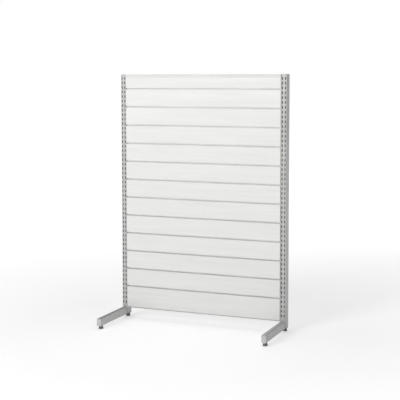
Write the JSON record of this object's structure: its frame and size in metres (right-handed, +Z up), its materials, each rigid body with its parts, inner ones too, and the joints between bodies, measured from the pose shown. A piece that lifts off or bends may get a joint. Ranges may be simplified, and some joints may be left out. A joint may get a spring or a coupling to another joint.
{
  "type": "slatwall panel",
  "caption": "Free-standing single-sided slatwall panel: grooved white board with aluminium liners between two slotted steel uprights on forward legs with screw-adjusted feet.",
  "frame": {"origin": "on the floor, at the middle of the unit's footprint", "axes": "+Z up; +X along the board to the right as seen from the front; -Y is the front, where the grooves and legs face"},
  "size_m": [0.96, 0.363, 1.36],
  "materials": {
    "grey_powder_coat": "satin silver-grey powder coat",
    "white_powder_coat": "satin off-white powder coat",
    "white_melamine": "white melamine facing with faint horizontal grain on MDF",
    "aluminium": "natural anodised extrusion",
    "zinc_plated_steel": "bright zinc plate",
    "plain_steel": "plain machined steel",
    "burnished_steel": "dark burnished steel",
    "dark_grey_plastic": "matte dark grey moulded plastic",
    "grey_plastic": "matte grey moulded plastic"
  },
  "bodies": {
    "frame": {"bottom_rail": "grey_powder_coat", "bottom_rail_screw_left": "zinc_plated_steel", "bottom_rail_screw_right": "zinc_plated_steel", "groove_liner_01": "aluminium", "groove_liner_02": "aluminium", "groove_liner_03": "aluminium", "groove_liner_04": "aluminium", "groove_liner_05": "aluminium", "groove_liner_06": "aluminium", "groove_liner_07": "aluminium", "groove_liner_08": "aluminium", "groove_liner_09": "aluminium", "groove_liner_10": "aluminium", "groove_liner_11": "aluminium", "groove_liner_12": "aluminium", "leg_block_left": "plain_steel", "leg_block_right": "plain_steel", "leg_bolt_left_lower": "zinc_plated_steel", "leg_bolt_left_upper": "zinc_plated_steel", "leg_bolt_right_lower": "zinc_plated_steel", "leg_bolt_right_upper": "zinc_plated_steel", "leg_end_cap_left": "grey_plastic", "leg_end_cap_right": "grey_plastic", "leg_foot_nut_left": "plain_steel", "leg_foot_nut_right": "plain_steel", "leg_left": "grey_powder_coat", "leg_right": "grey_powder_coat", "middle_rail": "grey_powder_coat", "middle_rail_plate_left": "grey_powder_coat", "middle_rail_plate_right": "grey_powder_coat", "middle_rail_screw_left": "zinc_plated_steel", "middle_rail_screw_right": "zinc_plated_steel", "panel_screw_1": "zinc_plated_steel", "panel_screw_2": "zinc_plated_steel", "panel_screw_3": "zinc_plated_steel", "panel_screw_4": "zinc_plated_steel", "panel_screw_5": "zinc_plated_steel", "panel_screw_6": "zinc_plated_steel", "slat_board": "white_melamine", "top_rail": "white_powder_coat", "top_rail_screw_left": "zinc_plated_steel", "top_rail_screw_right": "zinc_plated_steel", "upright_cap_left": "grey_plastic", "upright_cap_right": "grey_plastic", "upright_foot_insert_left": "dark_grey_plastic", "upright_foot_insert_right": "dark_grey_plastic", "upright_left": "grey_powder_coat", "upright_right": "grey_powder_coat"},
    "pad_front_left": {"foot_pad_front_left": "dark_grey_plastic"},
    "stem_front_left": {"foot_stem_front_left": "burnished_steel"},
    "pad_front_right": {"foot_pad_front_right": "dark_grey_plastic"},
    "stem_front_right": {"foot_stem_front_right": "burnished_steel"},
    "pad_rear_left": {"foot_pad_rear_left": "dark_grey_plastic"},
    "stem_rear_left": {"foot_stem_rear_left": "burnished_steel"},
    "pad_rear_right": {"foot_pad_rear_right": "dark_grey_plastic"},
    "stem_rear_right": {"foot_stem_rear_right": "burnished_steel"}
  },
  "joints": [
    {"name": "foot_front_left_height", "type": "slide", "parent": "frame", "child": "pad_front_left", "axis": [0, 0, -1], "range_m": [0, 0.012]},
    {"name": "foot_front_left_screw", "type": "hinge", "parent": "pad_front_left", "child": "stem_front_left", "pos_m": [-0.465, -0.1565, 0], "axis": [0, 0, -1], "range_deg": [0, 3456.5]},
    {"name": "foot_front_right_height", "type": "slide", "parent": "frame", "child": "pad_front_right", "axis": [0, 0, -1], "range_m": [0, 0.012]},
    {"name": "foot_front_right_screw", "type": "hinge", "parent": "pad_front_right", "child": "stem_front_right", "pos_m": [0.465, -0.1565, 0], "axis": [0, 0, -1], "range_deg": [0, 3456.5]},
    {"name": "foot_rear_left_height", "type": "slide", "parent": "frame", "child": "pad_rear_left", "axis": [0, 0, -1], "range_m": [0, 0.012]},
    {"name": "foot_rear_left_screw", "type": "hinge", "parent": "pad_rear_left", "child": "stem_rear_left", "pos_m": [-0.465, 0.1635, 0], "axis": [0, 0, -1], "range_deg": [0, 3456.5]},
    {"name": "foot_rear_right_height", "type": "slide", "parent": "frame", "child": "pad_rear_right", "axis": [0, 0, -1], "range_m": [0, 0.012]},
    {"name": "foot_rear_right_screw", "type": "hinge", "parent": "pad_rear_right", "child": "stem_rear_right", "pos_m": [0.465, 0.1635, 0], "axis": [0, 0, -1], "range_deg": [0, 3456.5]}
  ],
  "couplings": [
    {"joint": "foot_front_left_screw", "follows": "foot_front_left_height", "rad_per_m": 5026.5},
    {"joint": "foot_front_right_screw", "follows": "foot_front_right_height", "rad_per_m": 5026.5},
    {"joint": "foot_rear_left_screw", "follows": "foot_rear_left_height", "rad_per_m": 5026.5},
    {"joint": "foot_rear_right_screw", "follows": "foot_rear_right_height", "rad_per_m": 5026.5}
  ]
}
